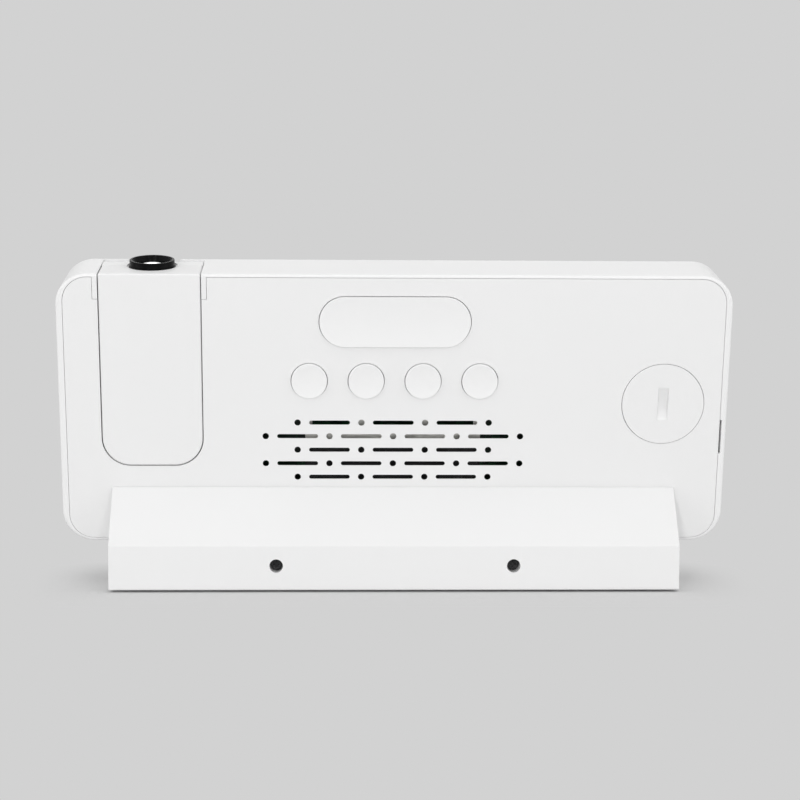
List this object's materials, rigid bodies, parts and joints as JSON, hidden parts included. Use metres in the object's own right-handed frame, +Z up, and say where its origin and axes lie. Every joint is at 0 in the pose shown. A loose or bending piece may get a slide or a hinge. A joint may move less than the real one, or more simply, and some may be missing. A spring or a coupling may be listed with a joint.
{
  "type": "projection alarm clock",
  "caption": "Slim display alarm clock leaning back on a wedge foot, with a fold-out projector arm, focus ring, snooze and round buttons, speaker grille and coin-cell cover on its rear.",
  "frame": {"origin": "on the table under the middle of the clock's bounding box, level with the underside of the rubber pads", "axes": "+X along the clock's width towards the projector arm, +Y towards the rear cover side, +Z up from the table"},
  "size_m": [0.19, 0.0361, 0.0947],
  "materials": {
    "housing_white": "fine satin moulded ABS",
    "cover_white": "fine satin moulded ABS",
    "foot_white": "fine satin moulded ABS",
    "button_white": "satin moulded ABS, shallow dish",
    "window_smoke": "tinted gloss acrylic",
    "black_plastic": "satin black moulded plastic",
    "board_green": "solder mask on glass-fibre board",
    "reflector_black": "matt face of the digit block",
    "segment_red": "dyed clear resin",
    "steel": "nickel-plated steel",
    "nickel": "bright nickel plate",
    "paper_cone": "coated paper",
    "magnet": "black ferrite",
    "lens_clear": "polished acrylic",
    "led_yellow": "phosphor resin",
    "lead_insulation": "matt vinyl insulation",
    "rubber_grey": "matt rubber"
  },
  "bodies": {
    "main": {"front_housing": "housing_white", "display_window": "window_smoke", "rear_cover": "cover_white", "case_screws": "steel", "main_board": "board_green", "board_screws": "steel", "digit_reflector": "reflector_black", "digit_segments": "segment_red", "tact_switches": "black_plastic", "digit_leds": "led_yellow", "control_chip": "black_plastic", "crystal": "nickel", "power_capacitor": "black_plastic", "charging_port": "nickel", "port_tongue": "black_plastic", "speaker_frame": "steel", "speaker_cone": "paper_cone", "speaker_magnet": "magnet", "speaker_leads": "lead_insulation", "hinge_lead": "lead_insulation", "coin_cell": "nickel", "battery_contact_minus": "nickel", "battery_contact_plus": "nickel", "foot_shell": "foot_white", "foot_base": "foot_white", "foot_pads": "rubber_grey", "foot_screws": "steel"},
    "projector": {"arm_front_shell": "housing_white", "arm_rear_shell": "cover_white", "arm_screws": "steel", "optics_barrel": "black_plastic", "condenser_lens": "lens_clear", "projection_lcd": "lens_clear", "projector_board": "board_green", "projector_led": "led_yellow", "projector_lead": "lead_insulation"},
    "focus": {"focus_ring": "black_plastic", "projection_lens": "lens_clear"},
    "battery_door": {"battery_cover": "cover_white"},
    "snooze": {"snooze_button": "button_white"},
    "button_1": {"rear_button_1": "button_white"},
    "button_2": {"rear_button_2": "button_white"},
    "button_3": {"rear_button_3": "button_white"},
    "button_4": {"rear_button_4": "button_white"}
  },
  "joints": [
    {"name": "projector_hinge", "type": "hinge", "parent": "main", "child": "projector", "pos_m": [0.0688, 0.0021, 0.09015], "axis": [1, 0, 0], "range_deg": [0, 90]},
    {"name": "focus_turn", "type": "hinge", "parent": "projector", "child": "focus", "pos_m": [0.0688, 0.00724, 0.09171], "axis": [0, 0.2079, 0.9781], "range_deg": [-60, 60]},
    {"name": "battery_cover_turn", "type": "hinge", "parent": "main", "child": "battery_door", "pos_m": [-0.0764, 0.01044, 0.0529], "axis": [0, 0.9781, -0.2079], "range_deg": [0, 60]},
    {"name": "snooze_press", "type": "slide", "parent": "main", "child": "snooze", "axis": [0, -0.9781, 0.2079], "range_m": [0, 0.0009], "stiffness_N_per_m": 1500},
    {"name": "button_1_press", "type": "slide", "parent": "main", "child": "button_1", "axis": [0, -0.9781, 0.2079], "range_m": [0, 0.0007], "stiffness_N_per_m": 1500},
    {"name": "button_2_press", "type": "slide", "parent": "main", "child": "button_2", "axis": [0, -0.9781, 0.2079], "range_m": [0, 0.0007], "stiffness_N_per_m": 1500},
    {"name": "button_3_press", "type": "slide", "parent": "main", "child": "button_3", "axis": [0, -0.9781, 0.2079], "range_m": [0, 0.0007], "stiffness_N_per_m": 1500},
    {"name": "button_4_press", "type": "slide", "parent": "main", "child": "button_4", "axis": [0, -0.9781, 0.2079], "range_m": [0, 0.0007], "stiffness_N_per_m": 1500}
  ]
}
